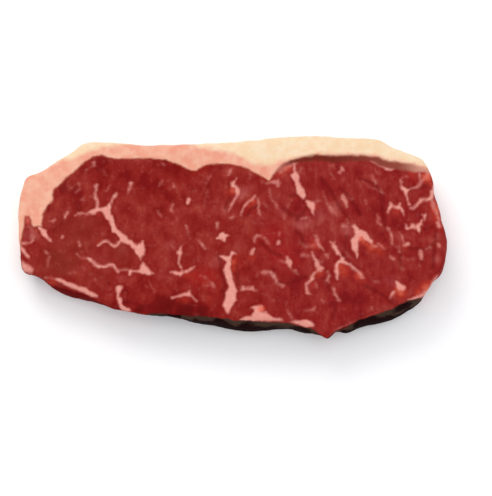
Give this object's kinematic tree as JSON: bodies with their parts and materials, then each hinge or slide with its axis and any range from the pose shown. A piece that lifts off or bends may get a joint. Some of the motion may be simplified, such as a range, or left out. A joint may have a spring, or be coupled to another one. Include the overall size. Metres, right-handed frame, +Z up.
{
  "type": "raw sirloin steak",
  "caption": "Raw sirloin steak: a thick slab of marbled lean meat with a rounded cap of fat along its back edge, lying flat.",
  "frame": {"origin": "middle of the steak's outline, on its underside", "axes": "+X along the steak's length, +Y towards its fat edge, +Z up from the underside to the shown cut face"},
  "size_m": [0.2024, 0.1008, 0.0219],
  "materials": {
    "raw_meat": "satin"
  },
  "bodies": {
    "root": {"steak": "raw_meat"}
  },
  "joints": []
}
